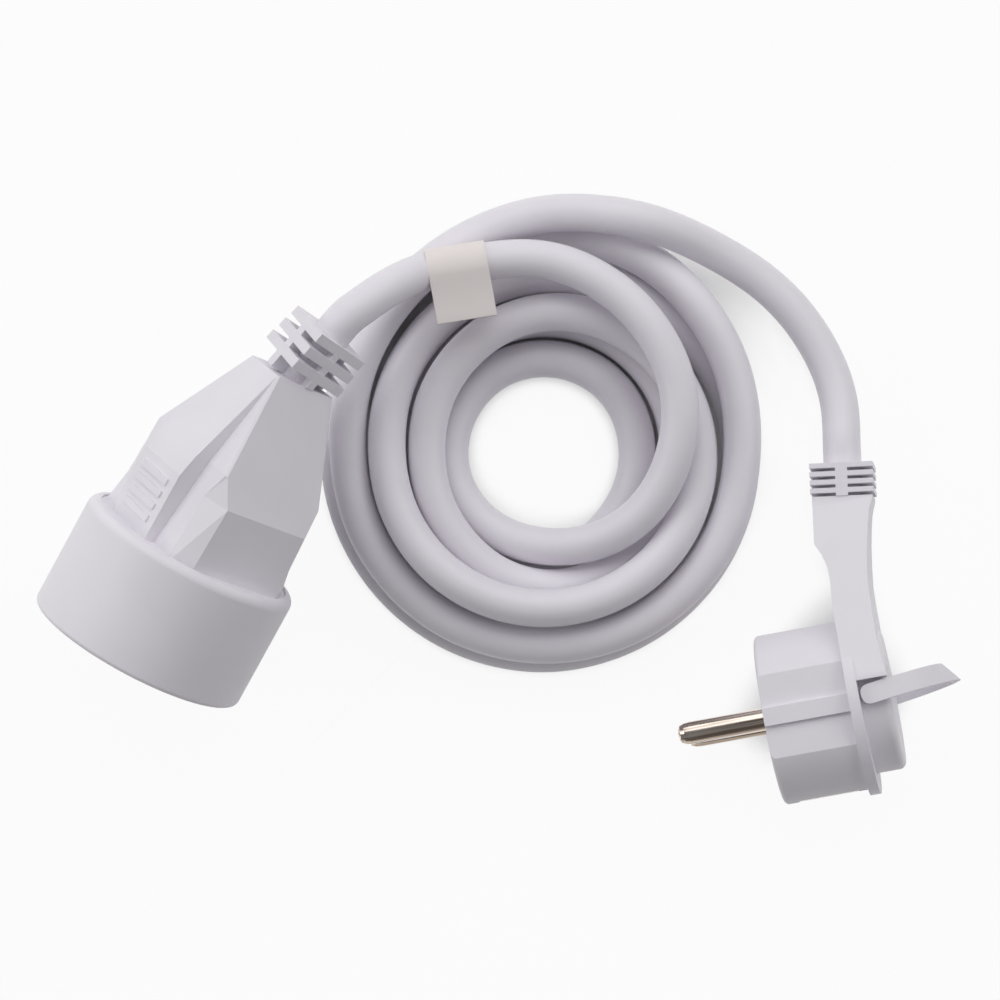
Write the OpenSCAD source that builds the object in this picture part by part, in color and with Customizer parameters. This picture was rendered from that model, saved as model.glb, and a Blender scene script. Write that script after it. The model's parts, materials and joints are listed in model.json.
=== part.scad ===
// Domestic extension cord: a moulded trailing socket and an angled plug with a folding pull ring,
// joined by a round three-core cord that lies in a loose coil.
// Millimetres, +Z up, on a table at z = 0. The origin is under the middle of the plug and the socket.
// The socket's own axes: z runs from the mouth to the tail, y through both contact holes.
// The plug's own axes: z runs from the front face backwards, y through both pins, x along its arm.

/* [Cord] */
// Outer diameter of the cord
cord_d = 8.2; // [6.4:0.1:8.4]
// Diameter of one insulated core
core_d = 2.3; // [1.8:0.1:2.4]
// Length of the paper flag along the cord
label_w = 12.4; // [8:0.2:13]
// Distance of the flag's hanging end from the cord's axis
label_drop = 11.4; // [7:0.2:12]
// Thickness of the flag's paper
label_t = 0.3; // [0.2:0.05:0.4]

/* [Socket] */
// Outside diameter of the collar round the mouth
collar_d = 48.5; // [47:0.1:52]
// Length of the collar
collar_l = 26; // [25:0.5:30]
// Diameter of the recess that takes a plug
recess_d = 39.8; // [39:0.1:40.6]
// Depth of the recess
recess_depth = 15; // [14:0.1:15.6]
// Thickness of the face with the contact holes
face_t = 3; // [2.4:0.1:4]
// Diameter of the grip's round root inside the collar
root_d = 44; // [43:0.1:44.6]
// Radius of the collar's rear edge
collar_edge_r = 2.1; // [0.5:0.1:2.4]
// Radius of the collar's front edge
mouth_edge_r = 1; // [0.3:0.1:1.4]
// Height of the grip panels above the axis
panel_h = 18.1; // [17:0.1:19]
// Half width of the grip panels
panel_half_w = 7.8; // [6.6:0.1:9]
// Number of finger bars on each panel
bar_count = 4; // [2:1:4]
// Spacing of the finger bars
bar_pitch = 2.9; // [2.4:0.1:3.2]
// Height of a finger bar above its panel
bar_h = 0.5; // [0.2:0.1:0.8]
// Radius of the bend of the tail and its strain relief
tail_bend_r = 45; // [40:1:60]

/* [Contacts] */
// Diameter of a contact hole in the socket's face
hole_d = 5.5; // [5.2:0.1:6]
// Diameter of every contact pin
pin_d = 4.8; // [4.6:0.1:4.8]
// Distance between the two power contacts
pin_pitch = 19; // [18.6:0.1:19.4]
// Distance of the earth contact from the line of the power contacts
earth_offset = 10; // [9.6:0.1:10.4]
// Length of the earth pin in front of the socket's face
earth_pin_l = 14; // [12:0.1:14.2]
// Length of a plug pin in front of the plug's body
pin_l = 19; // [18:0.1:19.4]
// Length of the carrier that holds the socket's contacts
carrier_l = 20; // [19.6:0.1:20.4]
// Wall of a contact sleeve
sleeve_wall = 0.9; // [0.6:0.1:1]
// Width of the slits in a contact sleeve
slit_w = 0.8; // [0.4:0.1:1.2]
// Wall of a crimp barrel
crimp_wall = 0.7; // [0.4:0.1:0.8]
// Length of a crimp barrel
crimp_l = 5; // [4:0.1:5.4]
// Thickness of the shutter plate
shutter_t = 1.8; // [1.2:0.1:2]
// Travel of the shutter plate
shutter_travel = 5.8; // [5.6:0.1:6.2]

/* [Plug] */
// Diameter of the plug's body
body_d = 36.8; // [36:0.1:37.4]
// Width across the body's two flats
flats_w = 32.2; // [31:0.1:33]
// Length of the body in front of the flange
body_l = 18.4; // [18:0.1:19]
// Diameter of the flange behind the body
flange_d = 39.2; // [39:0.1:41]
// Thickness of the flange
flange_t = 2.3; // [1.8:0.1:2.6]
// Diameter of the boss behind the flange
boss_d = 30.4; // [29:0.1:31]
// Height of the boss above the flange
boss_h = 6.4; // [6.2:0.1:7]
// Half width of the arm beside the boss
arm_root_half_w = 18.8; // [18:0.1:19]
// Side of the square end of the arm, where the cord comes out
arm_end_w = 13; // [12:0.1:14]
// Width of the guide rib on each flat
guide_w = 3.9; // [3:0.1:5]
// Height of a guide rib above its flat
guide_h = 1.1; // [0.6:0.1:1.2]
// Width of the earth bracket
bracket_w = 5; // [4.2:0.1:6]
// Thickness of the earth bracket
bracket_t = 0.8; // [0.5:0.1:1]

/* [Pull ring] */
// Outside diameter of the ring
ring_d = 35; // [34.8:0.1:36]
// Thickness of the ring's band
ring_t = 1.9; // [1.6:0.1:1.9]
// Height of the ring's band
ring_h = 4.2; // [3.4:0.1:4.4]
// Angle at which the ring stands, from the plug's axis towards the arm
ring_lean = 7.5; // [0:0.5:12]
// Diameter of a ring pin
ring_pin_d = 2; // [1.6:0.1:2.2]

/* [Strain reliefs] */
// Thickness of a rib of the socket's relief
socket_rib_t = 2.2; // [1.6:0.1:2.4]
// Spacing of the ribs of the socket's relief
socket_rib_pitch = 3.6; // [3.4:0.1:4]
// Longer side of the widest rib of the socket's relief
socket_rib_w = 15.7; // [14:0.1:16]
// Shorter side of the widest rib of the socket's relief
socket_rib_d = 12.1; // [11.4:0.1:12.8]
// Width of the webs that join the ribs of the socket's relief
socket_web_w = 1.9; // [1.4:0.1:3]
// Thickness of a rib of the plug's relief
plug_rib_t = 1.1; // [0.8:0.1:1.3]
// Spacing of the ribs of the plug's relief
plug_rib_pitch = 1.8; // [1.7:0.05:2]
// Side of a square rib of the plug's relief
plug_rib_w = 13.6; // [12.4:0.1:14]
// Width of the webs that join the ribs of the plug's relief
plug_web_w = 2.6; // [2:0.1:3.4]

/* [Hidden] */
$fn = 48;

white = [0.93, 0.93, 0.95];
nickel = [0.78, 0.76, 0.72];
brass = [0.80, 0.66, 0.36];

// Clearance round a piece that is pushed or moulded into place
fit = 0.05;
// Clearance round a turning pin
running = 0.04;
// Clearance round a piece that slides or springs in its pocket
loose = 0.1;
// Clearance between the folded ring and what lies round it
ring_gap = 0.4;
// Overshoot of a cut past the face that it opens
over = 0.1;

cord_r = cord_d / 2;
core_r = core_d / 2;
pin_r = pin_d / 2;
pin_y = pin_pitch / 2;

// Where the socket lies: centre of its mouth, then yaw, rise of the tail and roll
socket_at = [-77.6, -19.9, 23.87];
socket_yaw = 150.8;
socket_rise = 8.2;
socket_roll = 42;
// Where the plug lies: centre of its front face, then yaw, rise of its back and roll
plug_at = [58.2, -35.3, 17.14];
plug_yaw = 100.95;
plug_rise = 8;
plug_roll = -7.4;

// Socket, from the mouth to the tail
collar_r = collar_d / 2;
recess_r = recess_d / 2;
root_r = root_d / 2;
seat_z = recess_depth + face_t;
root_end_z = collar_l - 0.4;
carrier_end_z = seat_z + carrier_l;
carrier_half = [12.6, pin_y + 5];
carrier_r = 17.2;
grip_end_z = 68;
wire_space_z = [carrier_end_z + 2, 46, 58];
wire_space_half = [pin_y + 2.9, pin_y + 2.5, 5];
wire_space_x = 4.5;
tail_lean = 1.15;
tail_bend_z = 62;
// The tail is straight again beyond this angle
tail_bend_end = 13;
tail_shift = tail_lean * [-cos(socket_roll), sin(socket_roll)];
// Sections of the grip: height, then the corner on the y side and the corner on the x side
grip_sections = [[collar_l - 2, [11.6, 18.3], [15.8, 14.6]], [40, [10.8, 18.2], [13.8, 12.7]],
    [46, [12.7, 15.3], [13.1, 14.9]], [grip_end_z, [7.4, 5.85], [7.8, 5.45]]];
// Side outline of the grip panels: distance from the axis, height
panel_outline = [[panel_h, collar_l - 2], [panel_h, 41], [panel_h - 0.6, 43.5], [panel_h - 1.4, 46.3]];
bar_first_z = 29.4;
bar_half_l = 5.4;
bar_t = bar_pitch * 0.5;
socket_rib_count = 3;
// Where the widest rib's middle lies along the tail, and what each rib loses of the width of the one before
socket_ribs_start = 9.9;
socket_rib_taper = 0.029;
socket_relief_roll = socket_roll + 3.5;
socket_ribs_end = socket_ribs_start + (socket_rib_count - 1) * socket_rib_pitch + socket_rib_t / 2;
cord_reach = 0.5;
socket_cord_end = socket_ribs_end + cord_reach;

// A pin is thinner from just in front of its plug's or its socket's face inwards
neck_r = pin_r - 0.2;
neck_lead = 0.3;

// Contacts in the socket
sleeve_bore_r = pin_r + fit;
sleeve_r = sleeve_bore_r + sleeve_wall;
sleeve_back_t = 0.8;
pocket_floor_z = seat_z + shutter_t + 0.45;
sleeve_start_z = pocket_floor_z + 0.2;
sleeve_end_z = recess_depth + pin_l + 0.8 + sleeve_back_t;
shutter_half_w = hole_d / 2 + loose;
shutter_half_l = pin_y + hole_d / 2 + 1;
spring_seat_x = shutter_half_w + shutter_travel + 2;
spring_r = 0.7;
spring_wire_r = 0.18;
spring_curls = 8;
strap_t = 0.9;
strap_half_w = 2.4;
rivet_r = 1.5;
socket_tail_end_z = carrier_end_z + 3.8;
socket_crimp_z = carrier_end_z + 1.8;
crimp_bore_r = core_r + fit;
crimp_r = crimp_bore_r + crimp_wall;

// Plug, from the front face backwards
body_r = body_d / 2;
flange_end_z = body_l + flange_t;
boss_r = boss_d / 2;
boss_end_z = flange_end_z + boss_h;
bridge_z = [body_l - 9.4, body_l - 5.4];
bridge_half = [4.4, pin_y + 3.1];
shoulder_r = 3.1;
shoulder_l = 1.2;
bracket_z = body_l - 3;
bracket_front_z = 3.2;
bracket_half_x = 18.2;
earth_mouth_t = 2;
plug_crimp_z = bracket_z + bracket_t + 0.3;
plug_tail_end_z = plug_crimp_z + 2.6;
cover_cavity_r = pin_y + 2.9;
cover_cavity_end_z = boss_end_z - 1.9;
arm_start_x = 4.1;
arm_end = [44.3, 0, body_l + 6.05];
arm_rise = 8.3;
arm_sheath_l = 7.8;
arm_taper_end_x = 43;
channel_half_w = 5;
// The channel gets deeper towards the arm's end
channel_z = [body_l + 1.4, body_l + 6.8, body_l + 7.6];
channel_step_x = 31;
// Side outline of the arm, from the plug's axis and from the body's back: front edge, then back edge
arm_front = [[22.4, 0.1], [26.5, 0.45], [29.7, 0.3], [32.3, -0.4], [34.9, -1.6]];
arm_back = [[40.3, 11.2], [37, 10.35], [34, 9.7], [29.3, 8.9], [25, 8.3], [20, 8.1], [12, 8]];
// Places behind its body that a core runs through
line_via = [[1.5, pin_y - 0.9, 4.2], [7, 5.2, 5], [14, 2.6, 5.2]];
neutral_via = [for (p = line_via) [p[0], -p[1], p[2]]];
earth_via = [[-8.6, 0, 4.2], [-4, 0, 4.8], [14, 0, 2.9]];
plug_rib_count = 4;
plug_ribs_end = plug_rib_count * plug_rib_pitch;
plug_cord_end = plug_ribs_end + cord_reach;

// Pull ring
ring_r = ring_d / 2;
ring_inner_r = ring_r - ring_t;
ring_pivot = [1, flange_end_z + ring_h / 2 + ring_gap];
ring_pin_r = ring_pin_d / 2;
ring_pin_y = [13.3, 17];
ring_foot_r = 1.75;
// The ring's slanted tip: height and distance from the tip
ring_tip = [[ring_h / 2, -5.3], [ring_h / 2 - 0.05, -3.9], [ring_h / 2 - 0.2, -2.7], [-ring_h / 2, 0]];

// Cord: a station each time the coil changes, as turns, radius and height of its centre line.
// Turns are counted clockwise from the coil's left side, and the cord first goes down and inwards.
coil_centre = [9.8, 22.95];
coil_stations = [[0.25, 41.2, 20], [0.375, 34, 22], [0.44, 31, 21.8], [0.5, 27.8, 21], [0.625, 23.6, 17.8],
    [0.69, 21.9, 15.8], [0.75, 20.5, 12.6], [0.81, 20.5, 9.8], [0.875, 20.7, 7.7], [1, 20.8, 5],
    [1.125, 20.5, 4.2], [1.5, 20.3, 4.2], [1.625, 21.2, 4.2], [1.75, 25, 4.2], [1.81, 27.8, 4.2],
    [1.875, 29.2, 4.2], [2, 29.8, 4.2], [2.125, 29.2, 4.2], [2.5, 29.3, 4.2], [2.625, 29.6, 8.5],
    [2.69, 30.2, 10.6], [2.75, 29.8, 12.4], [2.81, 29, 13.4], [2.875, 27, 14.8], [3, 25.6, 13],
    [3.125, 27.2, 12.9], [3.25, 30.2, 12.9], [3.375, 31.8, 12.9], [3.5, 33.4, 12.9], [3.625, 34, 17],
    [3.75, 34, 20.6], [3.875, 34.2, 20.5], [4, 34.3, 15.5], [4.125, 36.5, 9], [4.25, 39.1, 4.2],
    [4.375, 40.8, 4.2], [4.5, 43.3, 4.2], [4.75, 44.6, 4.2], [5, 45.4, 4.2], [5.125, 46.8, 4.2],
    [5.25, 48.4, 4.5], [5.31, 48, 7.7], [5.34, 47.2, 9.8], [5.375, 46, 12], [5.44, 44.2, 13.1],
    [5.5, 42.8, 13], [5.75, 42.2, 12.9], [6, 42.8, 12.9], [6.125, 46.2, 13], [6.19, 48.6, 13.4],
    [6.25, 51.5, 13.8]];
rings_per_turn = 24;
coil_sides = 6;
lead_sides = 10;
core_sides = 8;
tail_sides = 32;

// The flag's place on the socket lead's last straight stretch, as a share of that stretch
label_share = 0.44;
// Points of the free cord from the socket to the coil, and from the coil to the plug
socket_route = [[-26.4, 55.2, 33.7], [-21, 58.7, 30.7], [-15.2, 61.3, 26]];
plug_route = [[28.2, 73.3, 16.2], [35.2, 71.3, 15], [43.2, 68.3, 11], [53.5, 63, 7.5], [62.2, 56, 7.5],
    [68.8, 47.2, 7.9], [72.4, 39.5, 8.9], [74, 32.9, 10.6]];

function unit(v) = v / norm(v);
function arc_points(centre, r, from, to, steps = 6) = [for (i = [0:steps])
    let (turn = from + (to - from) * i / steps) centre + r * [cos(turn), sin(turn)]];

// A point of the socket's or the plug's axes in the part's axes; a direction is placed without its origin
function placed(p, at, yaw, rise, roll) =
    let (x = p[0] * cos(roll) - p[1] * sin(roll), y = p[0] * sin(roll) + p[1] * cos(roll))
    let (back = y * sin(rise) - p[2] * cos(rise), up = y * cos(rise) + p[2] * sin(rise))
    at + [x * cos(yaw) - back * sin(yaw), x * sin(yaw) + back * cos(yaw), up];

// At a distance along the tail from the bend's start: the bend's angle, the straight length behind
// the bend, and the place of the cord's axis in the socket's frame before its roll
function bend_deg(s) = min(max(s, 0) / tail_bend_r * 180 / PI, tail_bend_end);
function behind_bend(s) = s - bend_deg(s) * tail_bend_r * PI / 180;
function tail_point(s) = let (b = bend_deg(s))
    [-tail_lean - tail_bend_r, 0, tail_bend_z] + tail_bend_r * [cos(b), 0, sin(b)]
    + behind_bend(s) * [-sin(b), 0, cos(b)];
socket_exit_way = placed([-sin(tail_bend_end), 0, cos(tail_bend_end)], [0, 0, 0],
    socket_yaw, socket_rise, 0);
socket_exit = placed(tail_point(socket_cord_end), socket_at, socket_yaw, socket_rise, 0);
plug_exit_way = placed([cos(arm_rise), 0, sin(arm_rise)], [0, 0, 0], plug_yaw, plug_rise, plug_roll);
plug_exit = placed(arm_end, plug_at, plug_yaw, plug_rise, plug_roll) + plug_cord_end * plug_exit_way;

function coil_point(turn) = [
    coil_centre[0] - lookup(turn, [for (s = coil_stations) [s[0], s[1]]]) * cos(360 * turn),
    coil_centre[1] + lookup(turn, [for (s = coil_stations) [s[0], s[1]]]) * sin(360 * turn),
    lookup(turn, [for (s = coil_stations) [s[0], s[2]]])];
coil_start_turn = coil_stations[0][0];
coil_end_turn = coil_stations[len(coil_stations) - 1][0];
coil_wound = [for (i = [0:rings_per_turn * (coil_end_turn - coil_start_turn)])
    coil_point(coil_start_turn + i / rings_per_turn)];
coil_in = coil_wound[0] - [cord_d, 0, 0];
coil_out = coil_wound[len(coil_wound) - 1] + [cord_d, 0, 0];
coil_path = concat([coil_in], coil_wound, [coil_out]);
square_l = cord_d * 0.6;
socket_lead_path = concat([socket_exit, socket_exit + square_l * socket_exit_way], socket_route,
    [coil_in - [square_l, 0, 0], coil_in]);
plug_lead_path = concat([coil_out, coil_out + [square_l, 0, 0]], plug_route,
    [plug_exit + square_l * plug_exit_way, plug_exit]);

// Turns that are nearer than half a turn along the cord don't count as neighbours
coil_gap = min([for (i = [0:len(coil_wound) - 1]) for (j = [i + 12:1:len(coil_wound) - 1])
    norm(coil_wound[i] - coil_wound[j])]) - cord_d;
echo(coil_gap_mm = coil_gap);

// A closed skin over rings of points, each ring counterclockwise seen from the next one
module skin(rings) {
    n = len(rings[0]);
    last = (len(rings) - 1) * n;
    sides = [for (k = [0:len(rings) - 2]) for (i = [0:n - 1])
        let (a = k * n + i, b = k * n + (i + 1) % n)
        each [[a, a + n, b + n], [a, b + n, b]]];
    polyhedron([for (ring = rings) each ring],
        concat([[for (i = [0:n - 1]) i]], sides, [[for (i = [n - 1:-1:0]) last + i]]));
}

// A tube whose centre line runs through the points
module tube(points, r, sides, up = [0, 0, 1]) {
    last = len(points) - 1;
    skin([for (i = [0:last])
        let (way = unit(points[min(i + 1, last)] - points[max(i - 1, 0)]))
        let (side = unit(cross(up, way)), lift = cross(way, side))
        [for (k = [0:sides - 1])
            points[i] + r * (cos(360 * (k + 0.5) / sides) * side + sin(360 * (k + 0.5) / sides) * lift)]]);
}

module bar(x, y, z) {
    translate([x[0], y[0], z[0]]) cube([x[1] - x[0], y[1] - y[0], z[1] - z[0]]);
}
module pipe(r, bore_r, z) {
    difference() {
        translate([0, 0, z[0]]) cylinder(r = r, h = z[1] - z[0]);
        bore(bore_r, z);
    }
}
module bore(r, z) {
    translate([0, 0, z[0] - over]) cylinder(r = r, h = z[1] - z[0] + 2 * over);
}
module drum(r, z) {
    translate([0, 0, z[0]]) cylinder(r = r, h = z[1] - z[0]);
}
module both_sides() {
    for (side = [-1, 1]) translate([0, side * pin_y, 0]) children();
}

module socket_frame() {
    translate(socket_at) rotate([0, 0, socket_yaw]) rotate([90 - socket_rise, 0, 0]) children();
}
module at_socket() {
    socket_frame() rotate([0, 0, socket_roll]) children();
}
module at_plug() {
    translate(plug_at) rotate([0, 0, plug_yaw]) rotate([90 - plug_rise, 0, 0])
        rotate([0, 0, plug_roll]) children();
}
// A place on the socket's bent tail, at a distance along the cord from the start of the bend
module on_tail(s) {
    translate([-tail_lean - tail_bend_r, 0, tail_bend_z]) rotate([0, -bend_deg(s), 0])
        translate([tail_bend_r, 0, behind_bend(s)]) children();
}
// The end of the plug's arm, with z along the cord
module on_arm() {
    translate(arm_end) rotate([0, 90 - arm_rise, 0]) children();
}

// The cord inside the socket's tail, in the socket's frame before its roll
module tail_cord(r, start_z, reach) {
    bend_l = tail_bend_end * tail_bend_r * PI / 180;
    stations = concat([start_z - tail_bend_z], [for (i = [0:5]) i * bend_l / 5], [reach]);
    tube([for (s = stations) tail_point(s)], r, tail_sides, [1, 0, 0]);
}

// ---- Socket ----

module socket_collar() color(white) at_socket() {
    edge_r = min(collar_edge_r, collar_r - root_r - 2 * fit);
    rotate_extrude($fn = 96) polygon(concat(
        [[recess_r, mouth_edge_r / 2], [recess_r + mouth_edge_r / 2, 0]],
        arc_points([collar_r - mouth_edge_r, mouth_edge_r], mouth_edge_r, -90, 0),
        arc_points([collar_r - edge_r, collar_l - edge_r], edge_r, 0, 90),
        [[root_r + fit, collar_l], [root_r + fit, seat_z], [recess_r, seat_z]]));
}

module grip_skin() {
    skin([for (s = grip_sections)
        let (shift = s[0] == grip_end_z ? tail_shift : [0, 0], a = s[1], b = s[2])
        [for (c = [[b[0], -b[1]], b, a, [-a[0], a[1]], [-b[0], b[1]], -b, -a, [a[0], -a[1]]])
            [c[0] + shift[0], c[1] + shift[1], s[0]]]]);
}

module grip_panels() {
    end = grip_sections[3][2];
    intersection() {
        rotate([90, 0, 0]) linear_extrude(height = 2 * root_r, center = true) polygon(concat(
            panel_outline, [[end[0] + tail_shift[0], grip_end_z], [-end[0] + tail_shift[0], grip_end_z]],
            [for (i = [len(panel_outline) - 1:-1:0]) [-panel_outline[i][0], panel_outline[i][1]]]));
        rotate([90, 0, 90]) linear_extrude(height = 2 * root_r, center = true) polygon([
            [-panel_half_w + 0.3, grip_sections[0][0]], [panel_half_w - 0.3, grip_sections[0][0]],
            [panel_half_w, 47], [end[1] + tail_shift[1], grip_end_z],
            [-end[1] + tail_shift[1], grip_end_z], [-panel_half_w, 47]]);
    }
    for (side = [-1, 1]) for (i = [0:bar_count - 1])
        translate([side * (panel_h + bar_h / 2 - over), 0, bar_first_z + i * bar_pitch])
            cube([bar_h + 2 * over, 2 * bar_half_l, bar_t], center = true);
}

module carrier_block(grow, z) {
    intersection() {
        bar([-carrier_half[0] - grow, carrier_half[0] + grow],
            [-carrier_half[1] - grow, carrier_half[1] + grow], z);
        drum(carrier_r + grow, z);
    }
}

module socket_grip() color(white) at_socket() difference() {
    union() {
        drum(root_r, [seat_z, root_end_z]);
        grip_skin();
        grip_panels();
    }
    carrier_block(loose, [seat_z - over, wire_space_z[0] + loose]);
    rotate([90, 0, 90]) linear_extrude(height = 2 * wire_space_x, center = true) polygon([
        for (i = [0:2]) [wire_space_half[i], wire_space_z[i]],
        for (i = [2:-1:0]) [-wire_space_half[i], wire_space_z[i]]]);
    rotate([0, 0, -socket_roll]) tail_cord(cord_r + fit, wire_space_z[2] - over, socket_cord_end);
}

module ribs(count, w, d, t, pitch) {
    for (i = [0:count - 1]) translate([0, 0, i * pitch]) cube([w, d, t], center = true);
}

module socket_strain_relief() color(white) socket_frame() difference() {
    for (i = [0:socket_rib_count - 1]) on_tail(socket_ribs_start + i * socket_rib_pitch)
        rotate([0, 0, socket_relief_roll]) {
            w = socket_rib_w * (1 - i * socket_rib_taper);
            d = socket_rib_d * (1 - i * socket_rib_taper);
            cube([w, d, socket_rib_t], center = true);
            translate([0, 0, -socket_rib_pitch / 2]) {
                cube([w, socket_web_w, socket_rib_pitch + 1.4], center = true);
                cube([socket_web_w, d, socket_rib_pitch + 1.4], center = true);
            }
        }
    tail_cord(cord_r + fit, wire_space_z[2], socket_cord_end + cord_reach);
    translate([0, 0, grip_end_z - 10]) cube([60, 60, 20], center = true);
}

module socket_face() color(white) at_socket() difference() {
    drum(recess_r - fit, [recess_depth, seat_z]);
    both_sides() bore(hole_d / 2, [recess_depth, seat_z]);
    translate([-earth_offset, 0, 0]) bore(neck_r + fit, [recess_depth, seat_z]);
}

module socket_contact_carrier() color("gainsboro") at_socket() difference() {
    carrier_block(0, [seat_z, carrier_end_z]);
    bar([-shutter_half_w - loose, shutter_half_w + shutter_travel + loose],
        [-shutter_half_l - loose, shutter_half_l + loose], [seat_z - over, pocket_floor_z]);
    bar([0, spring_seat_x], [-spring_r - 3 * loose, spring_r + 3 * loose], [seat_z - over, pocket_floor_z]);
    both_sides() {
        bore(sleeve_r + loose, [seat_z, sleeve_end_z - over + loose]);
        bore(core_r + fit, [seat_z, carrier_end_z]);
    }
    translate([-earth_offset, 0, 0]) {
        bore(neck_r + fit, [seat_z, sleeve_end_z - 3]);
        bore(rivet_r + fit, [seat_z, carrier_end_z]);
    }
}

module contact_sleeve(mouth_z, end_z, tail_z) {
    difference() {
        union() {
            drum(sleeve_r, [mouth_z, end_z]);
            drum(core_r, [end_z - over, tail_z]);
        }
        bore(sleeve_bore_r, [mouth_z, end_z - sleeve_back_t - over]);
        for (turn = [0, 90]) rotate([0, 0, turn + 45])
            bar([-sleeve_r - over, sleeve_r + over], [-slit_w / 2, slit_w / 2],
                [mouth_z - over, mouth_z + 8]);
    }
}

module socket_line_contact() color(brass) at_socket() translate([0, pin_y, 0])
    contact_sleeve(sleeve_start_z, sleeve_end_z, socket_tail_end_z);
module socket_neutral_contact() color(brass) at_socket() translate([0, -pin_y, 0])
    contact_sleeve(sleeve_start_z, sleeve_end_z, socket_tail_end_z);

// A round pin with a blunt tip, from its tip to the face that it stands on, its shoulder and its tail
module contact_pin(tip_z, face_z, shank_end_z, tail_r, tail_z) {
    rotate_extrude() polygon([[0, tip_z], [pin_r * 0.5, tip_z + 0.1], [pin_r * 0.78, tip_z + 0.5],
        [pin_r * 0.94, tip_z + 1.4], [pin_r, tip_z + 2.6], [pin_r, face_z - neck_lead],
        [neck_r, face_z - neck_lead], [neck_r, shank_end_z], [tail_r, shank_end_z], [tail_r, tail_z],
        [0, tail_z]]);
}

module socket_earth_pin() color(nickel) at_socket() translate([-earth_offset, 0, 0])
    contact_pin(recess_depth - earth_pin_l, recess_depth, sleeve_end_z - 3, rivet_r,
        carrier_end_z + strap_t + 0.3);

module socket_earth_strap() color(brass) at_socket() {
    difference() {
        bar([-carrier_half[0], strap_half_w], [-strap_half_w, strap_half_w],
            [carrier_end_z, carrier_end_z + strap_t]);
        translate([-earth_offset, 0, 0]) bore(rivet_r + fit, [carrier_end_z, carrier_end_z + strap_t]);
    }
    drum(core_r, [carrier_end_z + strap_t - over, socket_tail_end_z]);
}

// The plate's ramps face the mouth, so that two pins pressing together push it aside
module socket_shutter() color("gainsboro") at_socket() translate([0, 0, seat_z + 0.2])
    rotate([90, 0, 0]) linear_extrude(height = 2 * shutter_half_l, center = true) polygon([
        [-shutter_half_w, shutter_t * 0.6], [shutter_half_w * 0.4, 0], [shutter_half_w, 0],
        [shutter_half_w, shutter_t], [-shutter_half_w, shutter_t]]);

module socket_shutter_spring() color(nickel) at_socket() {
    steps = spring_curls * 8;
    from = shutter_half_w + spring_wire_r + fit;
    to = spring_seat_x - spring_wire_r - fit;
    tube([for (i = [0:steps]) [from + (to - from) * i / steps, spring_r * cos(45 * i),
        (seat_z + pocket_floor_z) / 2 + spring_r * sin(45 * i)]], spring_wire_r, 6, [1, 0, 0]);
}

// A core from its crimp to the end of the sheath, in the socket's own axes
module socket_core(crimp_y, end_offset) {
    end = tail_shift + end_offset;
    start_z = socket_tail_end_z + 2 * loose;
    tube([[0, crimp_y, start_z], [0, crimp_y, socket_crimp_z + crimp_l + 1],
        [end[0] / 2, (crimp_y + end[1]) / 2, wire_space_z[2] - 6.5],
        [end[0], end[1], wire_space_z[2] - 1.5],
        [end[0], end[1], wire_space_z[2] - 3 * loose]], core_r, core_sides, [1, 0, 0]);
}
module socket_core_line() color("saddlebrown") at_socket() socket_core(pin_y, [0, 2]);
module socket_core_neutral() color("steelblue") at_socket() socket_core(-pin_y, [0, -2]);
module socket_core_earth() color("yellowgreen") at_socket() socket_core(0, [2, 0]);

module socket_crimps() color(brass) at_socket() {
    for (y = [-pin_y, 0, pin_y]) translate([0, y, 0])
        pipe(crimp_r, crimp_bore_r, [socket_crimp_z, socket_crimp_z + crimp_l]);
}

module socket_cable_end() color(white) socket_frame() tail_cord(cord_r, wire_space_z[2], socket_cord_end);

// ---- Plug ----

module bracket_channel(grow) {
    y = [-bracket_w / 2 - grow, bracket_w / 2 + grow];
    bar([-body_r - 1, body_r + 1], y, [bracket_z, body_l + over]);
    for (side = [-1, 1]) translate([side * (bracket_half_x + 1 - bracket_t / 2 - grow), 0, 0])
        bar([-1 - bracket_t / 2, 2], y, [bracket_front_z - 2 * grow, body_l + over]);
}

module plug_body() color(white) at_plug() difference() {
    intersection() {
        rotate_extrude($fn = 96) polygon(concat([[0, 0]],
            arc_points([body_r - mouth_edge_r, mouth_edge_r], mouth_edge_r, -90, 0),
            [[body_r, body_l], [0, body_l]]));
        union() {
            bar([-body_r, body_r], [-flats_w / 2, flats_w / 2], [-1, body_l + 1]);
            bar([-guide_w / 2, guide_w / 2], [-flats_w / 2 - guide_h, flats_w / 2 + guide_h],
                [-1, body_l + 1]);
        }
    }
    both_sides() bore(neck_r + fit, [0, body_l]);
    bar([-bridge_half[0] - fit, bridge_half[0] + fit], [-bridge_half[1] - fit, bridge_half[1] + fit],
        [bridge_z[0], body_l + over]);
    bracket_channel(loose);
    translate([-earth_offset, 0, 0]) {
        bore(hole_d / 2, [0, earth_mouth_t]);
        bore(sleeve_r + loose, [earth_mouth_t + over, body_l]);
    }
}

module arm() {
    end_front = [arm_end[0] + arm_end_w / 2 * sin(arm_rise), arm_end[2] - arm_end_w / 2 * cos(arm_rise)];
    end_back = [arm_end[0] - arm_end_w / 2 * sin(arm_rise), arm_end[2] + arm_end_w / 2 * cos(arm_rise)];
    intersection() {
        rotate([90, 0, 0]) linear_extrude(height = 2 * body_r, center = true) polygon(concat(
            [[arm_start_x, body_l], [body_r + 1, body_l]], [for (p = arm_front) [p[0], body_l + p[1]]],
            [end_front, end_back], [for (p = arm_back) [p[0], body_l + p[1]]],
            [[arm_start_x, boss_end_z]]));
        linear_extrude(height = 60) polygon([
            [arm_start_x, -arm_root_half_w], [arm_taper_end_x, -arm_end_w / 2], [60, -arm_end_w / 2],
            [60, arm_end_w / 2], [arm_taper_end_x, arm_end_w / 2], [arm_start_x, arm_root_half_w]]);
    }
}

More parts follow.
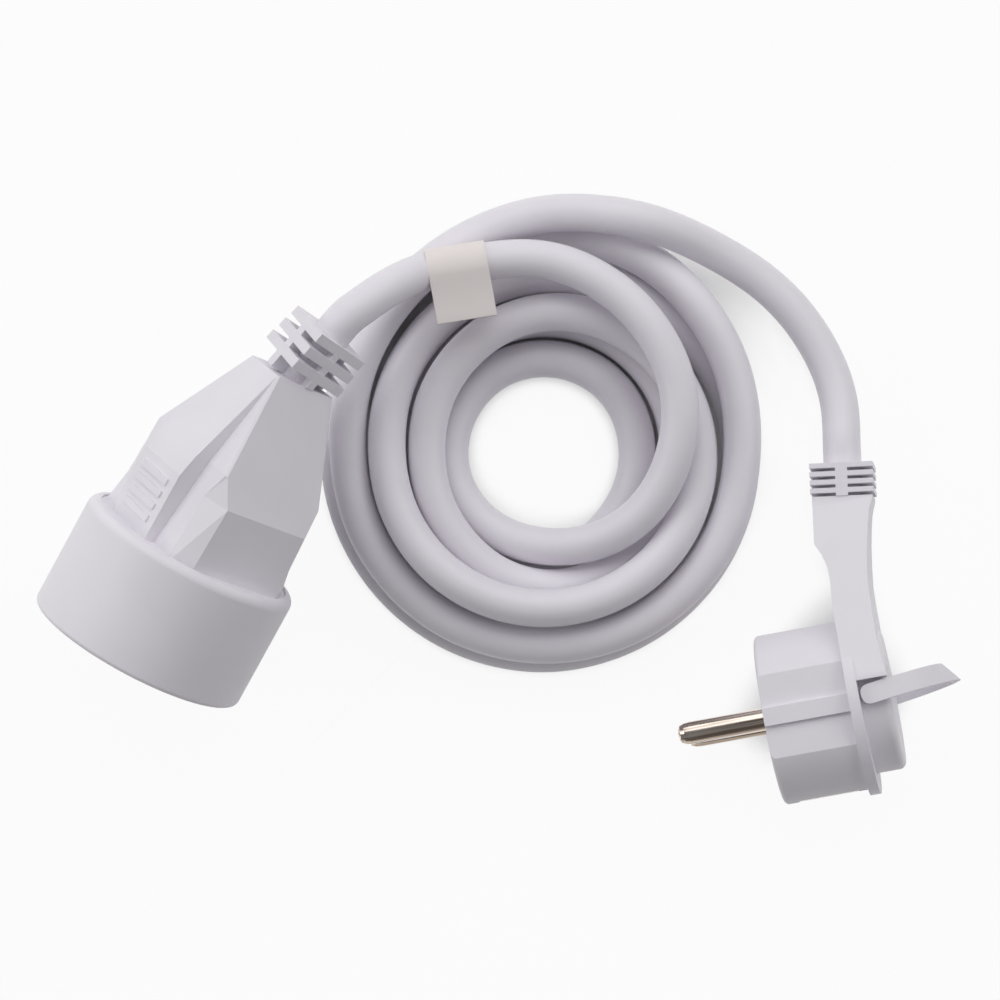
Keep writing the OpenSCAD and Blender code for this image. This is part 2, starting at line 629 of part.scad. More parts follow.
module plug_back_cover() color(white) at_plug() difference() {
    union() {
        drum(flange_d / 2, [body_l, flange_end_z], $fn = 96);
        rotate_extrude($fn = 96) polygon(concat([[0, body_l], [boss_r, body_l]],
            arc_points([boss_r - 1.5, boss_end_z - 1.5], 1.5, 0, 90), [[0, boss_end_z]]));
        arm();
    }
    drum(cover_cavity_r, [body_l - over, cover_cavity_end_z]);
    bar([0, channel_step_x], [-channel_half_w, channel_half_w], [channel_z[0], channel_z[1]]);
    bar([channel_step_x - over, arm_end[0] - arm_sheath_l + 1], [-channel_half_w, channel_half_w],
        [channel_z[0], channel_z[2]]);
    on_arm() bore(cord_r + fit, [-arm_sheath_l, plug_cord_end]);
    for (side = [-1, 1]) ring_axis(side) drum(ring_pin_r + fit, [ring_pin_y[0], ring_pin_y[1]]);
}

// The ring's hinge line, with z pointing out along it on one side of the plug
module ring_axis(side) {
    translate([ring_pivot[0], 0, ring_pivot[1]]) rotate([-90 * side, 0, 0]) children();
}

module plug_strain_relief() color(white) at_plug() on_arm() difference() {
    union() {
        translate([0, 0, plug_rib_pitch - plug_rib_t / 2])
            ribs(plug_rib_count, plug_rib_w, plug_rib_w, plug_rib_t, plug_rib_pitch);
        translate([0, 0, plug_ribs_end / 2]) {
            cube([plug_rib_w - 2.2, plug_web_w, plug_ribs_end], center = true);
            cube([plug_web_w, plug_rib_w, plug_ribs_end], center = true);
        }
    }
    bore(cord_r + fit, [0, plug_cord_end]);
}

module plug_pin() {
    contact_pin(-pin_l, 0, bridge_z[1], core_r, plug_tail_end_z);
    drum(shoulder_r, [bridge_z[1], bridge_z[1] + shoulder_l]);
}
module plug_pin_line() color(nickel) at_plug() translate([0, pin_y, 0]) plug_pin();
module plug_pin_neutral() color(nickel) at_plug() translate([0, -pin_y, 0]) plug_pin();

module plug_pin_carrier() color("gainsboro") at_plug() difference() {
    bar([-bridge_half[0], bridge_half[0]], [-bridge_half[1], bridge_half[1]], bridge_z);
    both_sides() bore(neck_r + fit, bridge_z);
}

module plug_earth_bracket() color(brass) at_plug() difference() {
    union() {
        y = [-bracket_w / 2, bracket_w / 2];
        bar([-bracket_half_x, bracket_half_x], y, [bracket_z, bracket_z + bracket_t]);
        for (x = [-bracket_half_x, bracket_half_x - bracket_t])
            bar([x, x + bracket_t], y, [bracket_front_z, bracket_z + bracket_t]);
    }
    translate([-earth_offset, 0, 0]) bore(core_r + fit, [bracket_z, bracket_z + bracket_t]);
}

module plug_earth_contact() color(brass) at_plug() translate([-earth_offset, 0, 0])
    contact_sleeve(earth_mouth_t + 0.2, bracket_z - loose, plug_tail_end_z);

// A core from its crimp, through the cover and along the arm, to the end of the sheath
module plug_core(from, via, end) {
    sheath_x = arm_end[0] - arm_sheath_l;
    sheath_z = arm_end[2] - arm_sheath_l * sin(arm_rise);
    tube(concat([for (z = [plug_tail_end_z + 2 * loose, plug_crimp_z + crimp_l]) [from[0], from[1], z]],
        [for (p = via) [p[0], p[1], body_l + p[2]]],
        [[sheath_x - 3, end[0], sheath_z + end[1]], [sheath_x - 0.8, end[0], sheath_z + end[1] + 0.3]]),
        core_r, core_sides, [0, 1, 0]);
}
module plug_core_line() color("saddlebrown") at_plug() plug_core([0, pin_y], line_via, [1.6, 0.6]);
module plug_core_neutral() color("steelblue") at_plug() plug_core([0, -pin_y], neutral_via, [-1.6, 0.6]);
module plug_core_earth() color("yellowgreen") at_plug() plug_core([-earth_offset, 0], earth_via, [0, -1.7]);

module plug_crimps() color(brass) at_plug() for (p = [[0, pin_y], [0, -pin_y], [-earth_offset, 0]])
    translate(p) pipe(crimp_r, crimp_bore_r, [plug_crimp_z, plug_crimp_z + crimp_l - 0.5]);

module plug_cable_end() color(white) at_plug() on_arm() drum(cord_r, [-arm_sheath_l, plug_cord_end]);

// A band that stands on two legs, folds down round the boss and is held by a pin on each side
module pull_ring() color(white) at_plug() difference() {
    foot = ring_h / 2 - ring_foot_r;
    translate([ring_pivot[0], 0, ring_pivot[1]]) rotate([0, ring_lean, 0]) intersection() {
        rotate([90, 0, 90]) linear_extrude(height = ring_h, center = true) difference() {
            union() {
                translate([0, ring_pivot[0]]) circle(r = ring_r, $fn = 96);
                translate([-ring_r, -ring_h]) square([2 * ring_r, ring_h + ring_pivot[0]]);
            }
            translate([0, ring_pivot[0]]) circle(r = ring_inner_r, $fn = 96);
            translate([-ring_inner_r, -ring_r]) square([2 * ring_inner_r, ring_r + ring_pivot[0]]);
            translate([-ring_r - 1, -ring_h - 2 * ring_r]) square([2 * ring_r + 2, 2 * ring_r]);
        }
        rotate([90, 0, 0]) linear_extrude(height = 2 * ring_r + 2, center = true) polygon(concat(
            arc_points([-foot, -foot], ring_foot_r, 180, 270),
            arc_points([foot, -foot], ring_foot_r, 270, 360),
            [for (p = ring_tip) [p[0], ring_r + ring_pivot[0] + p[1]]]));
    }
    for (side = [-1, 1]) ring_axis(side)
        drum(ring_pin_r + running, [ring_inner_r - 1, ring_pin_y[1] + loose]);
}

module pull_ring_pins() color(nickel) at_plug() for (side = [-1, 1])
    ring_axis(side) drum(ring_pin_r, [ring_pin_y[0] + loose, ring_pin_y[1]]);

// ---- Cord ----

module cord_coil() color(white) tube(coil_path, cord_r, coil_sides);
module cord_socket_lead() color(white) tube(socket_lead_path, cord_r, lead_sides);
module cord_plug_lead() color(white) tube(plug_lead_path, cord_r, lead_sides);

// The flag is folded over the lead's last straight stretch, and its leaves meet at the hanging end
module flag_outline(r) {
    hull() {
        circle(r = r);
        translate([-label_drop + label_t, 0]) circle(r = r - cord_r - fit / 2);
    }
}
module cord_label() color("ivory") {
    from = socket_route[len(socket_route) - 1];
    to = coil_in - [square_l, 0, 0];
    way = unit(to - from);
    yaw = atan2(way[1], way[0]);
    translate(from + (to - from) * label_share)
        rotate([0, 0, yaw]) rotate([0, acos(way[2]), 0]) rotate([0, 0, 90])
        linear_extrude(height = label_w, center = true) difference() {
            flag_outline(cord_r + fit + label_t);
            flag_outline(cord_r + fit);
        }
}

socket_collar();
socket_grip();
socket_strain_relief();
socket_face();
socket_contact_carrier();
socket_earth_pin();
socket_line_contact();
socket_neutral_contact();
socket_earth_strap();
socket_shutter();
socket_shutter_spring();
socket_core_line();
socket_core_neutral();
socket_core_earth();
socket_crimps();
socket_cable_end();
plug_body();
plug_back_cover();
plug_strain_relief();
plug_pin_line();
plug_pin_neutral();
plug_pin_carrier();
plug_earth_bracket();
plug_earth_contact();
pull_ring();
pull_ring_pins();
plug_core_line();
plug_core_neutral();
plug_core_earth();
plug_crimps();
plug_cable_end();
cord_coil();
cord_socket_lead();
cord_plug_lead();
cord_label();
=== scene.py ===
import json
import math

import bmesh
import bpy
from mathutils import Matrix, Vector


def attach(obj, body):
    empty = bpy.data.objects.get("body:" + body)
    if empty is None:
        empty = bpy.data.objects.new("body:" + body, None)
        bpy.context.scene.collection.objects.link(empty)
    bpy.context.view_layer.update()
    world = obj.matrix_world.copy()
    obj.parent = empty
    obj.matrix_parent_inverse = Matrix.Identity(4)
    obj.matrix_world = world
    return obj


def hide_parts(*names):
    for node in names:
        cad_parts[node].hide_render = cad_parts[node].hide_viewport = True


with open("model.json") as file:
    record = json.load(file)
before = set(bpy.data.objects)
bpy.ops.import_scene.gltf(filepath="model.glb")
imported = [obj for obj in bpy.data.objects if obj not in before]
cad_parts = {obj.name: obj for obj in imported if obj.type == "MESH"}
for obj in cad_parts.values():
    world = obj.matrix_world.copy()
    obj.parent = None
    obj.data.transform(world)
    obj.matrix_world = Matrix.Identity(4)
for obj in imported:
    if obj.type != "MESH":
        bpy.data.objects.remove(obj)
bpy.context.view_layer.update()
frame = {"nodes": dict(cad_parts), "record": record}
nodes = frame["nodes"]
scene = bpy.context.scene
print("model loaded:", len(nodes), "nodes")


def newObject(name, data):
    made = bpy.data.objects.new(name, data)
    scene.collection.objects.link(made)
    return made


# Camera straight above the table
overhead = {"place": (0.0, 0.0123, 0.75), "lens": 122.3, "sensorWidth": 36, "clipStart": 0.01}
cameraData = bpy.data.cameras.new("overheadCamera")
cameraData.lens = overhead["lens"]
cameraData.sensor_width = overhead["sensorWidth"]
cameraData.clip_start = overhead["clipStart"]
camera = newObject("overheadCamera", cameraData)
camera.location = overhead["place"]
scene.camera = camera

# Cord route, the same stations and points as in the model's source, in metres
cord = {
    "diameter": 0.0082,
    "coilX": 0.0098,
    "coilY": 0.02295,
    "stepsPerTurn": 24,
    "spacing": 0.0045,
    "smoothRounds": 8,
    "smooth": 0.5,
    "pushBack": -0.53,
    "roundness": 7,
    "stepsPerPoint": 3,
}
coilStations = [  # turns wound so far, radius, height of the cord's middle
    (0.25, 0.0412, 0.02), (0.375, 0.034, 0.022), (0.44, 0.031, 0.0218), (0.5, 0.0278, 0.021),
    (0.625, 0.0236, 0.0178), (0.69, 0.0219, 0.0158), (0.75, 0.0205, 0.0126), (0.81, 0.0205, 0.0098),
    (0.875, 0.0207, 0.0077), (1, 0.0208, 0.005), (1.125, 0.0205, 0.0042), (1.5, 0.0203, 0.0042),
    (1.625, 0.0212, 0.0042), (1.75, 0.025, 0.0042), (1.81, 0.0278, 0.0042), (1.875, 0.0292, 0.0042),
    (2, 0.0298, 0.0042), (2.125, 0.0292, 0.0042), (2.5, 0.0293, 0.0042), (2.625, 0.0296, 0.0085),
    (2.69, 0.0302, 0.0106), (2.75, 0.0298, 0.0124), (2.81, 0.029, 0.0134), (2.875, 0.027, 0.0148),
    (3, 0.0256, 0.013), (3.125, 0.0272, 0.0129), (3.25, 0.0302, 0.0129), (3.375, 0.0318, 0.0129),
    (3.5, 0.0334, 0.0129), (3.625, 0.034, 0.017), (3.75, 0.034, 0.0206), (3.875, 0.0342, 0.0205),
    (4, 0.0343, 0.0155), (4.125, 0.0365, 0.009), (4.25, 0.0391, 0.0042), (4.375, 0.0408, 0.0042),
    (4.5, 0.0433, 0.0042), (4.75, 0.0446, 0.0042), (5, 0.0454, 0.0042), (5.125, 0.0468, 0.0042),
    (5.25, 0.0484, 0.0045), (5.31, 0.048, 0.0077), (5.34, 0.0472, 0.0098), (5.375, 0.046, 0.012),
    (5.44, 0.0442, 0.0131), (5.5, 0.0428, 0.013), (5.75, 0.0422, 0.0129), (6, 0.0428, 0.0129),
    (6.125, 0.0462, 0.013), (6.19, 0.0486, 0.0134), (6.25, 0.0515, 0.0138),
]
socketRoute = [
    (-0.0351, 0.04751, 0.03534), (-0.03182, 0.05111, 0.03602), (-0.0264, 0.0552, 0.0337),
    (-0.021, 0.0587, 0.0307), (-0.0152, 0.0613, 0.026),
]
plugRoute = [
    (0.0282, 0.0733, 0.0162), (0.0352, 0.0713, 0.015), (0.0432, 0.0683, 0.011),
    (0.0535, 0.063, 0.0075), (0.0622, 0.056, 0.0075), (0.0688, 0.0472, 0.0079),
    (0.0724, 0.0395, 0.0089), (0.074, 0.0329, 0.0106), (0.07404, 0.02512, 0.01355),
    (0.07419, 0.02023, 0.01408),
]


def coilPoint(turn):
    for (t0, r0, z0), (t1, r1, z1) in zip(coilStations, coilStations[1:]):
        if turn <= t1:
            share = (turn - t0) / (t1 - t0)
            break
    radius = r0 + (r1 - r0) * share
    height = z0 + (z1 - z0) * share
    angle = math.tau * turn
    x = cord["coilX"] - radius * math.cos(angle)
    y = cord["coilY"] + radius * math.sin(angle)
    return Vector((x, y, height))


def evenPoints(points, spacing):
    lengths = [(b - a).length for a, b in zip(points, points[1:])]
    count = round(sum(lengths) / spacing)
    step = sum(lengths) / count
    made = [points[0].copy()]
    stretch, done = 0, 0.0
    for i in range(1, count):
        while done + lengths[stretch] < i * step:
            done += lengths[stretch]
            stretch += 1
        share = (i * step - done) / lengths[stretch]
        made.append(points[stretch].lerp(points[stretch + 1], share))
    return made + [points[-1].copy()]


def eased(points, rounds):
    # each round smooths the kinks, then pushes back so that the turns keep their size
    for _ in range(rounds):
        for share in (cord["smooth"], cord["pushBack"]):
            moved = [
                p + share * ((a + b) / 2 - p) for a, p, b in zip(points, points[1:], points[2:])
            ]
            moved[0], moved[-1] = points[1], points[-2]  # the ends keep their direction
            points = [points[0]] + moved + [points[-1]]
    return points


firstTurn = coilStations[0][0]
lastTurn = coilStations[-1][0]
stepCount = round((lastTurn - firstTurn) * cord["stepsPerTurn"])
wound = [coilPoint(firstTurn + i / cord["stepsPerTurn"]) for i in range(stepCount + 1)]
straight = Vector((cord["diameter"], 0, 0))
cordLine = [Vector(p) for p in socketRoute]
cordLine += [wound[0] - straight] + wound + [wound[-1] + straight]
cordLine += [Vector(p) for p in plugRoute]
cordLine = eased(evenPoints(cordLine, cord["spacing"]), cord["smoothRounds"])
cordCurve = bpy.data.curves.new("cordSheath", "CURVE")
cordCurve.dimensions = "3D"
cordCurve.bevel_depth = 1.0  # each point's own radius sets the size
cordCurve.bevel_resolution = cord["roundness"]
cordCurve.resolution_u = cord["stepsPerPoint"]
cordCurve.use_fill_caps = True
spline = cordCurve.splines.new("BEZIER")
spline.bezier_points.add(len(cordLine) - 1)
for bezierPoint, middle in zip(spline.bezier_points, cordLine):
    bezierPoint.co = middle
    bezierPoint.radius = cord["diameter"] / 2
    bezierPoint.handle_left_type = bezierPoint.handle_right_type = "AUTO"
cordSheath = newObject("cordSheath", cordCurve)
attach(cordSheath, "cord_set")
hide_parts("cord_coil", "cord_socket_lead", "cord_plug_lead")

# Paper flag folded over the cord, its two leaves meeting at the hanging end
flag = {
    "width": 0.0128,
    "drop": 0.0115,
    "wrapRadius": 0.0051,
    "paper": 0.0002,
    "place": (-0.0093, 0.0626, 0.0231),
    "behindCord": -0.0007,
    "liftDegrees": 13,
    "columns": 12,
    "leafRows": 6,
    "wrapSteps": 22,
    "bulge": 0.0003,
    "endGap": 0.00025,
}
up = Vector((0, 0, 1))
flagPlace = Vector(flag["place"])
middles = [(a + b) / 2 for a, b in zip(cordLine, cordLine[1:])]
flagStep = min(range(len(middles)), key=lambda i: (middles[i] - flagPlace).length)
alongCord = (cordLine[flagStep + 1] - cordLine[flagStep]).normalized()
flagCentre = cordLine[flagStep] + alongCord * (flagPlace - cordLine[flagStep]).dot(alongCord)
flagBack = up.cross(alongCord).normalized()
# the flag's side edges hang plumb, though the cord slopes
flagTurn = Matrix((alongCord / alongCord.xy.length, flagBack, up)).transposed().to_4x4()
flagFrame = Matrix.Translation(flagCentre + flagBack * flag["behindCord"]) @ flagTurn

# one leaf's section, from its hanging end up to where the wrap round the cord starts
openAngle = math.acos(flag["wrapRadius"] / flag["drop"])
leafEnd = Vector((-flag["drop"], flag["endGap"] / 2))
leafStart = Vector((-math.cos(openAngle), math.sin(openAngle))) * flag["wrapRadius"]
leafOut = Vector((leafEnd - leafStart).yx).normalized() * Vector((-1, 1))
leaf = []
for i in range(flag["leafRows"] + 1):
    share = i / flag["leafRows"]
    crown = flag["bulge"] * 4 * share * (1 - share)
    leaf.append(leafEnd.lerp(leafStart, share) + leafOut * crown)
flagMesh = bpy.data.meshes.new("paperFlag")
bm = bmesh.new()
ends = []
for i in range(flag["columns"] + 1):
    ends.append(bm.verts.new(((i / flag["columns"] - 0.5) * flag["width"], *leaf[0])))
front = [bm.edges.new(pair) for pair in zip(ends, ends[1:])]


def pulled(edges, y, z):
    made = bmesh.ops.extrude_edge_only(bm, edges=edges)["geom"]
    fresh = [v for v in made if isinstance(v, bmesh.types.BMVert)]
    bmesh.ops.translate(bm, verts=fresh, vec=(0, y - fresh[0].co.y, z - fresh[0].co.z))
    return [e for e in made if isinstance(e, bmesh.types.BMEdge)]


def addFlatShading(piece, name):
    shading = piece.modifiers.new(name, "WEIGHTED_NORMAL")
    shading.weight = 90  # large faces stay flat up to their rounded edges


for y, z in leaf[1:]:
    front = pulled(front, y, z)
spun = bmesh.ops.spin(
    bm, geom=front, axis=(1, 0, 0), cent=(0, 0, 0), dvec=(0, 0, 0), space=Matrix.Identity(4),
    angle=2 * openAngle - math.tau, steps=flag["wrapSteps"], use_merge=False, use_duplicate=False,
)
front = [e for e in spun["geom_last"] if isinstance(e, bmesh.types.BMEdge)]
for y, z in reversed(leaf[:-1]):
    front = pulled(front, y, -z)
lift = Matrix.Rotation(-math.radians(flag["liftDegrees"]), 3, "X")
bmesh.ops.rotate(bm, verts=bm.verts, cent=(0, 0, 0), matrix=lift)
bmesh.ops.transform(bm, matrix=flagFrame, verts=bm.verts)
for face in bm.faces:
    face.smooth = True
bm.to_mesh(flagMesh)
bm.free()
paperFlag = newObject("paperFlag", flagMesh)
thickness = paperFlag.modifiers.new("paper", "SOLIDIFY")
thickness.thickness = flag["paper"]
thickness.offset = 0
addFlatShading(paperFlag, "crispEdges")
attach(paperFlag, "cord_set")
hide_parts("cord_label")
print("flag wrapped")


# Materials
def newMaterial(name, colour, roughness, metallic=0.0):
    material = bpy.data.materials.new(name)
    material.use_nodes = True
    shader = material.node_tree.nodes["Principled BSDF"]
    shader.inputs["Base Color"].default_value = (*colour, 1)
    shader.inputs["Roughness"].default_value = roughness
    shader.inputs["Metallic"].default_value = metallic
    return material, material.node_tree, shader


def addNode(tree, kind, **values):
    made = tree.nodes.new(kind)
    for name, value in values.items():
        if name in made.inputs:
            made.inputs[name].default_value = value
        else:
            setattr(made, name, value)
    return made


def noiseFrom(tree, scale, detail, stretch=(1, 1, 1), along=(1, 0, 0)):
    coordinates = addNode(tree, "ShaderNodeTexCoord")
    mapping = addNode(tree, "ShaderNodeMapping", vector_type="TEXTURE")
    mapping.inputs["Rotation"].default_value = Vector(along).to_track_quat("X", "Z").to_euler()
    mapping.inputs["Scale"].default_value = stretch
    noise = addNode(tree, "ShaderNodeTexNoise", Scale=scale, Detail=detail)
    tree.links.new(coordinates.outputs["Object"], mapping.inputs["Vector"])
    tree.links.new(mapping.outputs["Vector"], noise.inputs["Vector"])
    return noise


def colourFrom(tree, noise, shader, dark, light, darkBelow, lightAbove):
    ramp = addNode(tree, "ShaderNodeValToRGB")
    first, second = ramp.color_ramp.elements
    first.position, second.position = darkBelow, lightAbove
    first.color, second.color = (*dark, 1), (*light, 1)
    tree.links.new(noise.outputs["Fac"], ramp.inputs["Fac"])
    tree.links.new(ramp.outputs["Color"], shader.inputs["Base Color"])


def roughnessFrom(tree, noise, shader, smoothest, roughest):
    spread = addNode(tree, "ShaderNodeMapRange")
    spread.inputs["To Min"].default_value = smoothest
    spread.inputs["To Max"].default_value = roughest
    tree.links.new(noise.outputs["Fac"], spread.inputs["Value"])
    tree.links.new(spread.outputs["Result"], shader.inputs["Roughness"])


def bumpFrom(tree, noise, strength, distance):
    bump = addNode(tree, "ShaderNodeBump", Strength=strength, Distance=distance)
    tree.links.new(noise.outputs["Fac"], bump.inputs["Height"])
    return bump


# Noise scales are per metre, depths in metres
mould = {
    "cloudScale": 60,
    "cloudDetail": 2,
    "darkBelow": 0.35,
    "lightAbove": 0.65,
    "roughnessSpread": 0.05,
    "fineScale": 2600,
    "fineDetail": 2,
    "fineDepth": 0.00002,
    "wideScale": 130,
    "wideDetail": 1,
    "wideDepth": 0.0001,
}


def mouldedPlastic(name, light, dark, roughness, grain, unevenness):
    material, tree, shader = newMaterial(name, light, roughness)
    cloud = noiseFrom(tree, mould["cloudScale"], mould["cloudDetail"])
    colourFrom(tree, cloud, shader, dark, light, mould["darkBelow"], mould["lightAbove"])
    spread = mould["roughnessSpread"]
    roughnessFrom(tree, cloud, shader, roughness - spread, roughness + spread)
    fine = noiseFrom(tree, mould["fineScale"], mould["fineDetail"])
    fineBump = bumpFrom(tree, fine, grain, mould["fineDepth"])
    wide = noiseFrom(tree, mould["wideScale"], mould["wideDetail"])
    wideBump = bumpFrom(tree, wide, unevenness, mould["wideDepth"])
    tree.links.new(fineBump.outputs["Normal"], wideBump.inputs["Normal"])
    tree.links.new(wideBump.outputs["Normal"], shader.inputs["Normal"])
    return material


# light and dark colour, roughness, strength of the fine grain, strength of the wide waves
shellWhite = mouldedPlastic(
    "shellWhite", (0.87, 0.845, 0.895), (0.845, 0.82, 0.87), 0.5, 0.35, 0.1
)
sheathWhite = mouldedPlastic(
    "sheathWhite", (0.865, 0.835, 0.89), (0.84, 0.81, 0.865), 0.45, 0.2, 0.2
)
innerPlastic = mouldedPlastic(
    "innerPlastic", (0.72, 0.72, 0.72), (0.68, 0.68, 0.68), 0.55, 0.3, 0.1
)
labelPaper = mouldedPlastic(
    "labelPaper", (0.91, 0.85, 0.835), (0.89, 0.83, 0.815), 0.8, 0.6, 0.1
)
coreBrown = mouldedPlastic("coreBrown", (0.17, 0.07, 0.03), (0.14, 0.06, 0.025), 0.4, 0.1, 0.1)
coreBlue = mouldedPlastic("coreBlue", (0.04, 0.12, 0.42), (0.035, 0.1, 0.36), 0.4, 0.1, 0.1)
coreGreen = mouldedPlastic("coreGreen", (0.55, 0.52, 0.03), (0.05, 0.3, 0.05), 0.4, 0.1, 0.1)

# Lengthwise streaks: on brass and steel a drawn grain; on the pins the strong dark and light
# streaks are also painted reflection bands.
grainAndPaintedBands = {
    "streakDetail": 3,
    "darkBelow": 0.4,
    "lightAbove": 0.58,
    "roughnessSpread": 0.15,
    "streakStrength": 0.2,
    "streakDepth": 0.00003,
}


def plainMetal(name, light, dark, roughness, grain, stretch, along=(1, 0, 0)):
    material, tree, shader = newMaterial(name, light, roughness, 1.0)
    streaks = noiseFrom(tree, grain, grainAndPaintedBands["streakDetail"], stretch, along)
    colourFrom(tree, streaks, shader, dark, light, grainAndPaintedBands["darkBelow"], grainAndPaintedBands["lightAbove"])
    roughnessFrom(tree, streaks, shader, roughness, roughness + grainAndPaintedBands["roughnessSpread"])
    bump = bumpFrom(tree, streaks, grainAndPaintedBands["streakStrength"], grainAndPaintedBands["streakDepth"])
    tree.links.new(bump.outputs["Normal"], shader.inputs["Normal"])
    return material


# light and dark colour, roughness, streaks per metre, how far they stretch, and along what
# On the pins the dark and light lengthwise streaks are painted reflection bands of a polished pin,
# besides a drawn grain.
pinAxis = (0.9722, 0.1881, 0.1392)
pinNickelPaintedBands = plainMetal(
    "pinNickelPaintedBands", (0.85, 0.76, 0.68), (0.35, 0.27, 0.21), 0.1, 1300, (40, 1, 1), pinAxis
)
contactBrass = plainMetal(
    "contactBrass", (0.78, 0.58, 0.28), (0.62, 0.44, 0.2), 0.3, 900, (1, 1, 5)
)
springSteel = plainMetal(
    "springSteel", (0.6, 0.6, 0.61), (0.4, 0.4, 0.41), 0.3, 900, (1, 1, 1)
)

finishes = {  # the record's material slots
    "socket_plastic": shellWhite,
    "plug_plastic": shellWhite,
    "carrier_plastic": innerPlastic,
    "cord_sheath": sheathWhite,
    "nickel_plate": pinNickelPaintedBands,
    "contact_brass": contactBrass,
    "spring_steel": springSteel,
    "core_brown": coreBrown,
    "core_blue": coreBlue,
    "core_green": coreGreen,
    "label_paper": labelPaper,
}
for part in frame["record"]["subparts"]:
    node = nodes[part["node"]]
    node.data.materials.clear()
    node.data.materials.append(finishes[part["material_slot"]])
cordCurve.materials.append(sheathWhite)
flagMesh.materials.append(labelPaper)
print("materials made")


# Moulded shells: the model's own shapes with softened edges, flat faces kept flat.
# Edges that turn by more than "sharpest", in degrees, get a rounding of this width.
shellEdges = {
    "socket_collar": {"width": 0.0002, "sharpest": 26},
    "socket_grip": {"width": 0.0003, "sharpest": 8.5},
    "socket_strain_relief": {"width": 0.0004, "sharpest": 26},
    "socket_face": {"width": 0.0003, "sharpest": 26},
    "plug_body": {"width": 0.0003, "sharpest": 20},
    "plug_back_cover": {"width": 0.0005, "sharpest": 20},
    "plug_strain_relief": {"width": 0.0003, "sharpest": 26},
    "pull_ring": {"width": 0.0003, "sharpest": 20},
}
rounding = {"mergeWithin": 0.000004, "shortestEdge": 0.000002, "flatDegrees": 0.6, "segments": 3}


def softened(nodeName, body, slotName, width, sharpest):
    mesh = bpy.data.meshes.new(nodeName + "Shell")
    bm = bmesh.new()
    bm.from_mesh(nodes[nodeName].data)
    bmesh.ops.remove_doubles(bm, verts=bm.verts, dist=rounding["mergeWithin"])
    bmesh.ops.dissolve_degenerate(bm, edges=bm.edges, dist=rounding["shortestEdge"])
    bmesh.ops.dissolve_limit(
        bm, angle_limit=math.radians(rounding["flatDegrees"]), use_dissolve_boundaries=False,
        verts=bm.verts, edges=bm.edges,
    )
    corners = [
        e for e in bm.edges
        if len(e.link_faces) == 2 and e.calc_face_angle(0) > math.radians(sharpest)
    ]
    bmesh.ops.bevel(
        bm, geom=corners, offset=width, offset_type="OFFSET", segments=rounding["segments"],
        profile=0.5, affect="EDGES", clamp_overlap=True, material=-1, loop_slide=True,
    )
    for face in bm.faces:
        face.smooth = True
    bm.to_mesh(mesh)
    bm.free()
    mesh.materials.append(finishes[slotName])
    shell = newObject(nodeName + "Shell", mesh)
    addFlatShading(shell, "flatFaces")
    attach(shell, body)
    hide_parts(nodeName)


for name, edge in shellEdges.items():
    slotName = "socket_plastic" if name.startswith("socket") else "plug_plastic"
    body = "ring" if name == "pull_ring" else "cord_set"
    softened(name, body, slotName, edge["width"], edge["sharpest"])
    print("shell softened:", name)

# Table top: it glows almost white where it lies open; near the cord the glow fades by ambient
# occlusion, which paints shade, and in tight gaps it stays a plain surface in its real shade
table = {
    "size": 40.0,
    "shade": 0.88,
    "roughness": 0.9,
    "glow": 0.93,
    "gapReach": 0.014,
    "gapSamples": 16,
    "darkGap": 0.25,
    "openGap": 0.6,
}
tableMesh = bpy.data.meshes.new("tableTop")
bm = bmesh.new()
bmesh.ops.create_grid(bm, x_segments=1, y_segments=1, size=table["size"] / 2)
bm.to_mesh(tableMesh)
bm.free()
tableTop = newObject("tableTop", tableMesh)
tableWhite, tree, shader = newMaterial("tableWhite", (table["shade"],) * 3, table["roughness"])
rays = addNode(tree, "ShaderNodeLightPath")
glow = addNode(tree, "ShaderNodeEmission", Strength=1.0)
mix = addNode(tree, "ShaderNodeMixShader")
mirrored = addNode(tree, "ShaderNodeMath", operation="MAXIMUM")
seen = addNode(tree, "ShaderNodeMath", operation="MAXIMUM")
share = addNode(tree, "ShaderNodeMath", operation="MULTIPLY")
# ambient occlusion fades the glow around the cord and in the gaps between turns: painted shade,
# over the surface's real shade
openness = addNode(
    tree, "ShaderNodeAmbientOcclusion", samples=table["gapSamples"], Distance=table["gapReach"]
)
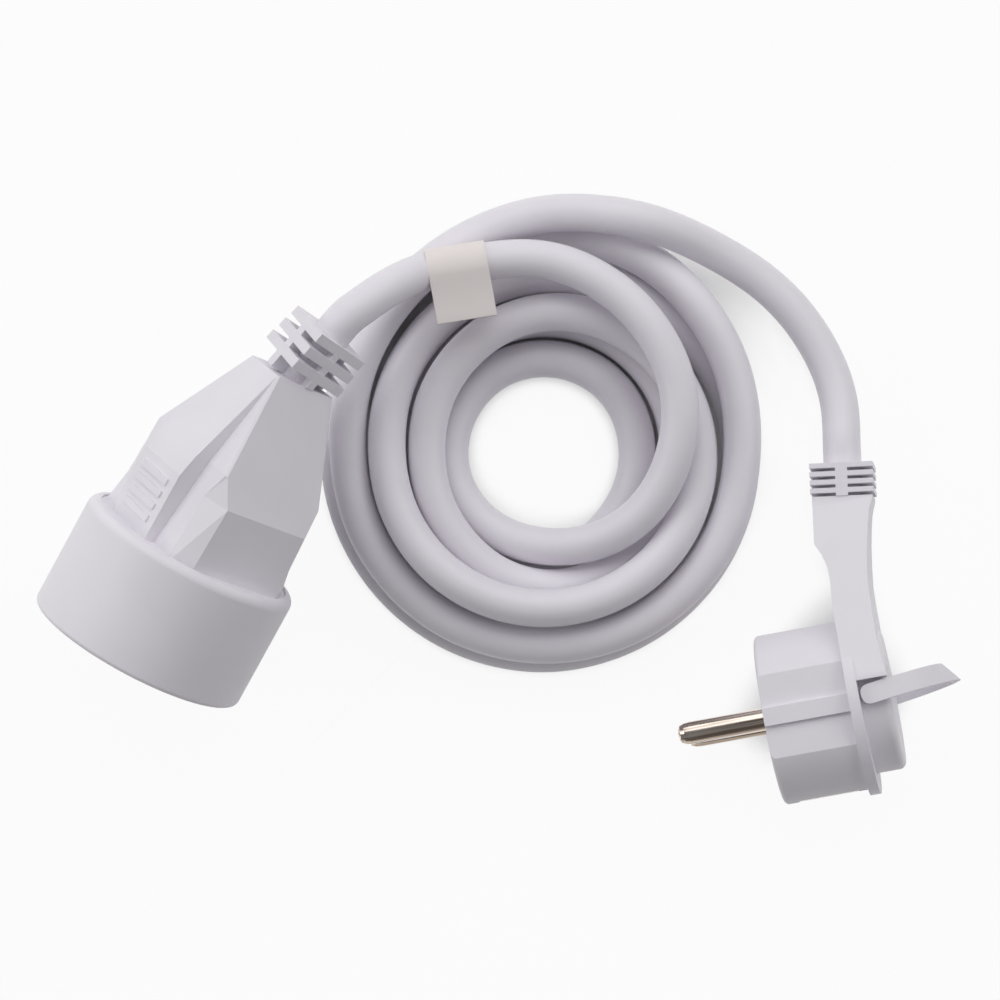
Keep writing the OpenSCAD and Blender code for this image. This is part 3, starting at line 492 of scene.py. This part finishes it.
bare = addNode(tree, "ShaderNodeMapRange")
bare.inputs["From Min"].default_value = table["darkGap"]
bare.inputs["From Max"].default_value = table["openGap"]
bare.inputs["To Min"].default_value = 0.0
bare.inputs["To Max"].default_value = table["glow"]
tree.links.new(openness.outputs["AO"], bare.inputs["Value"])
tree.links.new(rays.outputs["Is Glossy Ray"], mirrored.inputs[0])
tree.links.new(rays.outputs["Is Transmission Ray"], mirrored.inputs[1])
tree.links.new(rays.outputs["Is Camera Ray"], seen.inputs[0])
tree.links.new(mirrored.outputs["Value"], seen.inputs[1])
tree.links.new(seen.outputs["Value"], share.inputs[0])
tree.links.new(bare.outputs["Result"], share.inputs[1])
tree.links.new(share.outputs["Value"], mix.inputs["Fac"])
tree.links.new(shader.outputs["BSDF"], mix.inputs[1])
tree.links.new(glow.outputs["Emission"], mix.inputs[2])
tree.links.new(mix.outputs["Shader"], tree.nodes["Material Output"].inputs["Surface"])
tableMesh.materials.append(tableWhite)

# Softboxes, all aimed at the origin, and a dim even room
softboxes = {
    "topBox": {"place": (0, 0.98, 0.9), "width": 2.4, "height": 1.3, "watts": 12.6},
    "leftBox": {"place": (-0.8, 0.1, 0.45), "width": 0.5, "height": 0.5, "watts": 1.8},
    "rightBox": {"place": (0.62, 0.06, 0.5), "width": 0.5, "height": 0.5, "watts": 0.8},
}
room = {"colour": (0.99, 0.98, 1.0), "strength": 0.2}
for name, box in softboxes.items():
    lampData = bpy.data.lights.new(name, "AREA")
    lampData.shape = "RECTANGLE"
    lampData.size, lampData.size_y = box["width"], box["height"]
    lampData.energy = box["watts"]
    lamp = newObject(name, lampData)
    lamp.location = box["place"]
    lamp.rotation_euler = (-Vector(box["place"])).to_track_quat("-Z", "Y").to_euler()
world = bpy.data.worlds.new("studio")
world.use_nodes = True
background = world.node_tree.nodes["Background"]
background.inputs["Color"].default_value = (*room["colour"], 1)
background.inputs["Strength"].default_value = room["strength"]
scene.world = world
scene.view_settings.view_transform = "Standard"
print("studio lit")

bpy.context.view_layer.update()
